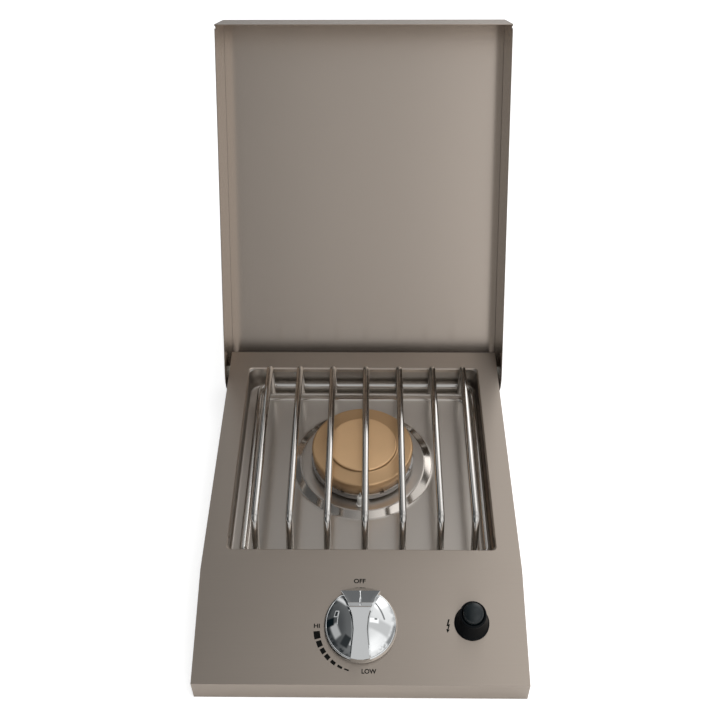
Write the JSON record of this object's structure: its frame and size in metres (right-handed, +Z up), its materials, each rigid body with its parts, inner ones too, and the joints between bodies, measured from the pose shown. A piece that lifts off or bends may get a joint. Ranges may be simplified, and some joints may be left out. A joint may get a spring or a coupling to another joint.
{
  "type": "built in side burner",
  "caption": "Drop-in gas side burner with a brass-capped burner, rod grate, waisted control knob, push-button igniter and a full hinged cover.",
  "frame": {"origin": "on the counter's surface, at the middle of the deck's width and depth", "axes": "+Z up, +X to the user's right, +Y to the back, where the lid is hinged"},
  "size_m": [0.3446, 0.6714, 0.5158],
  "materials": {
    "stainless": "stainless sheet with a fine brushed grain",
    "polished_steel": "polished stainless rod and drawn sheet, glossy",
    "plated_steel": "zinc plated steel, satin",
    "brass_cap": "turned brass, satin, slightly warm",
    "brass_fitting": "machined brass",
    "cast_aluminium": "as cast, lightly machined on the ring",
    "chrome_knob": "chrome plated, mirror bright",
    "black_plastic": "black moulded plastic, semi-gloss",
    "black_rubber": "matte black rubber",
    "nylon": "natural nylon",
    "ceramic": "glazed white ceramic"
  },
  "bodies": {
    "housing": {"deck_shell": "stainless", "burner_box": "stainless", "pan_clip_rear": "stainless", "pan_clip_front": "stainless", "valve_bracket": "stainless", "electrode_bracket": "stainless", "burner_pan": "polished_steel", "pan_screw_rear": "plated_steel", "pan_screw_front": "plated_steel", "venturi_screw_left": "plated_steel", "venturi_screw_right": "plated_steel", "bracket_screw_left": "plated_steel", "bracket_screw_right": "plated_steel", "valve_screw_left": "plated_steel", "valve_screw_right": "plated_steel", "electrode_tip": "plated_steel", "electrode_screw": "plated_steel", "igniter_spring": "plated_steel", "igniter_nut": "plated_steel", "box_screw_front_left": "plated_steel", "box_screw_front_right": "plated_steel", "box_screw_rear_left": "plated_steel", "box_screw_rear_right": "plated_steel", "hinge_bolt_left": "plated_steel", "hinge_bolt_right": "plated_steel", "hinge_nut_left": "plated_steel", "hinge_nut_right": "plated_steel", "valve_body": "brass_fitting", "gas_orifice": "brass_fitting", "gas_inlet_tube": "brass_fitting", "inlet_nut": "brass_fitting", "inlet_fitting": "brass_fitting", "burner_head": "cast_aluminium", "venturi_tube": "cast_aluminium", "igniter_collar": "black_plastic", "igniter_module": "black_plastic", "ignition_wire": "black_rubber", "lid_rest_left": "black_rubber", "lid_rest_right": "black_rubber", "lid_stop_left": "black_rubber", "lid_stop_right": "black_rubber", "hinge_spacer_left": "nylon", "hinge_spacer_right": "nylon", "electrode_ceramic": "ceramic"},
    "lid": {"lid_shell": "stainless"},
    "rotor": {"valve_rotor": "brass_fitting", "valve_spring": "plated_steel"},
    "knob": {"knob": "chrome_knob", "valve_stem": "plated_steel"},
    "button": {"igniter_button": "black_plastic"},
    "grate": {"grate_frame": "polished_steel", "grate_bar_1": "polished_steel", "grate_bar_2": "polished_steel", "grate_bar_3": "polished_steel", "grate_bar_4": "polished_steel", "grate_bar_5": "polished_steel", "grate_bar_6": "polished_steel", "grate_bar_7": "polished_steel"},
    "cap": {"burner_cap": "brass_cap"},
    "shutter": {"air_shutter": "stainless"}
  },
  "joints": [
    {"name": "lid_hinge", "type": "hinge", "parent": "housing", "child": "lid", "pos_m": [0, 0.1962, 0.0413], "axis": [-1, 0, 0], "range_deg": [-122.5, 0]},
    {"name": "valve_turn", "type": "hinge", "parent": "housing", "child": "rotor", "pos_m": [0, -0.15999, 0.043], "axis": [0, -0.2922, 0.9564], "range_deg": [0, 180]},
    {"name": "knob_push", "type": "slide", "parent": "rotor", "child": "knob", "axis": [0, 0.2922, -0.9564], "range_m": [0, 0.0022], "stiffness_N_per_m": 1500, "springref_m": -0.004, "deforming": ["valve_spring"]},
    {"name": "igniter_push", "type": "slide", "parent": "housing", "child": "button", "axis": [0, 0.0472, -0.9989], "range_m": [0, 0.004], "stiffness_N_per_m": 600, "springref_m": -0.004, "deforming": ["igniter_spring"]},
    {"name": "grate_lift", "type": "slide", "parent": "housing", "child": "grate", "axis": [0, 0, 1], "range_m": [0, 0.04]},
    {"name": "cap_lift", "type": "slide", "parent": "housing", "child": "cap", "axis": [0, 0, 1], "range_m": [0, 0.005]},
    {"name": "shutter_turn", "type": "hinge", "parent": "housing", "child": "shutter", "pos_m": [0, -0.11592, -0.0096], "axis": [0, 1, 0], "range_deg": [-25, 25]}
  ]
}
